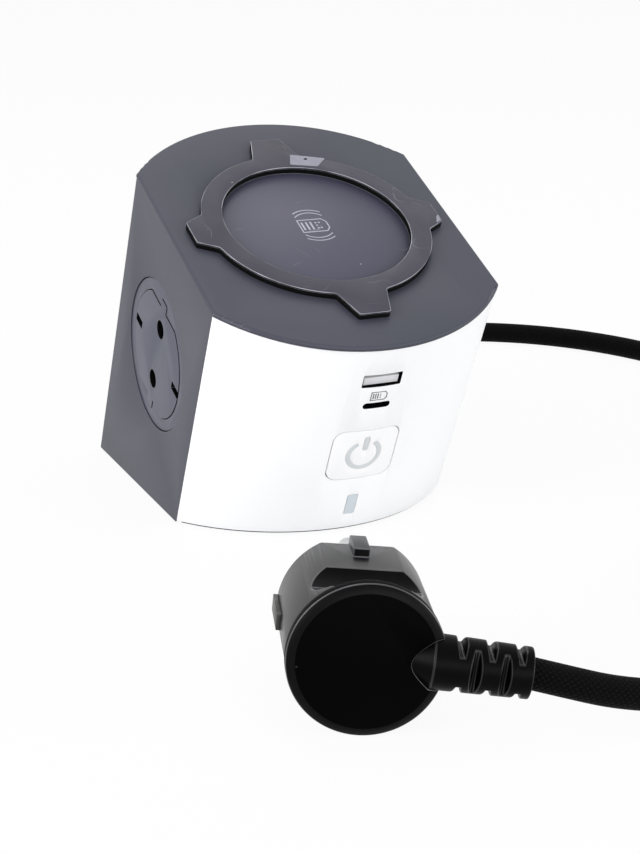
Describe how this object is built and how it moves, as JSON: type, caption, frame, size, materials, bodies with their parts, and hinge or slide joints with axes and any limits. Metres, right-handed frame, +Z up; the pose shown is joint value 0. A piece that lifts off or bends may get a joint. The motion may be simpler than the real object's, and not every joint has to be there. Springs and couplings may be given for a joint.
{
  "type": "desk power tower",
  "caption": "Leaning round desk power tower with a sprung-faced mains socket in each flat side, front charging ports and button, a wireless charging top, and a coiled mains lead with a plug.",
  "frame": {"origin": "on the desk, under the middle of the tower's bounding box, the lead and plug left out", "axes": "+Z up, -Y towards the charging ports, +X to the right as seen from the front"},
  "size_m": [0.2664, 0.346, 0.1103],
  "materials": {
    "grey_shell": "smooth satin",
    "white_cover": "smooth gloss",
    "dark_base": "moulded",
    "black_rubber": "matt",
    "screw_steel": "machined",
    "ring_black": "matt",
    "ring_grey": "matt",
    "pad_dark": "satin",
    "inner_plastic": "moulded",
    "ferrite": "sintered",
    "copper_wire": "enamelled litz",
    "circuit_board": "solder mask",
    "contact_brass": "stamped",
    "port_steel": "stamped",
    "port_white": "moulded",
    "port_black": "moulded",
    "white_button": "smooth gloss",
    "symbol_grey": "printed",
    "spring_steel": "drawn wire",
    "lens_pale": "clear, frosted",
    "led_white": "moulded",
    "transformer_tape": "taped",
    "capacitor_sleeve": "shrunk sleeve",
    "gland_black": "moulded",
    "braid_black": "braided sleeve",
    "wire_insulation": "extruded",
    "plug_black": "satin",
    "relief_black": "moulded",
    "pin_nickel": "nickel plate",
    "earth_steel": "stamped",
    "socket_grey": "satin",
    "housing_dark": "moulded",
    "icon_print": "printed",
    "film_clear": "clear film"
  },
  "bodies": {
    "tower": {"outer_shell": "grey_shell", "front_cover": "white_cover", "rear_cover": "white_cover", "base_plate": "dark_base", "rubber_feet": "black_rubber", "base_screws": "screw_steel", "grip_ring": "ring_black", "ring_cap": "ring_grey", "charging_pad": "pad_dark", "coil_tray": "inner_plastic", "ferrite_sheet": "ferrite", "charging_coil": "copper_wire", "charger_board": "circuit_board", "line_contact_bar": "contact_brass", "neutral_contact_bar": "contact_brass", "front_frame": "inner_plastic", "frame_screws": "screw_steel", "usb_board": "circuit_board", "usb_a_shell": "port_steel", "usb_a_tongue": "port_white", "usb_c_shell": "port_steel", "usb_c_tongue": "port_black", "button_spring": "spring_steel", "power_switch": "inner_plastic", "status_lens": "lens_pale", "status_led": "led_white", "power_board": "circuit_board", "transformer": "transformer_tape", "capacitors": "capacitor_sleeve", "terminal_block": "inner_plastic", "cord_gland": "gland_black", "inner_lead": "braid_black", "mains_wires": "wire_insulation", "supply_wires": "wire_insulation", "cord_clamp": "inner_plastic", "clamp_screws": "screw_steel", "cord_rear_run": "braid_black", "cord_coil": "braid_black", "cord_plug_run": "braid_black", "plug_cap": "plug_black", "plug_body": "plug_black", "plug_pins": "pin_nickel", "plug_earth_strips": "earth_steel", "plug_strain_relief": "relief_black", "left_socket_bezel": "socket_grey", "left_face_spring": "spring_steel", "left_socket_housing": "housing_dark", "left_earth_clips": "earth_steel", "left_housing_screws": "screw_steel", "right_socket_bezel": "socket_grey", "right_face_spring": "spring_steel", "right_socket_housing": "housing_dark", "right_earth_clips": "earth_steel", "right_housing_screws": "screw_steel"},
    "left_face": {"left_socket_face": "socket_grey"},
    "right_face": {"right_socket_face": "socket_grey"},
    "button": {"power_button": "white_button", "power_symbol": "symbol_grey"}
  },
  "joints": [
    {"name": "left_face_slide", "type": "slide", "parent": "tower", "child": "left_face", "axis": [1, 0, 0], "range_m": [0, 0.016], "stiffness_N_per_m": 150, "springref_m": -0.01, "deforming": ["left_face_spring"]},
    {"name": "right_face_slide", "type": "slide", "parent": "tower", "child": "right_face", "axis": [-1, 0, 0], "range_m": [0, 0.016], "stiffness_N_per_m": 150, "springref_m": -0.01, "deforming": ["right_face_spring"]},
    {"name": "button_press", "type": "slide", "parent": "tower", "child": "button", "axis": [0, 0.9157, 0.4019], "range_m": [0, 0.0016], "stiffness_N_per_m": 600, "springref_m": -0.002, "deforming": ["button_spring"]}
  ]
}
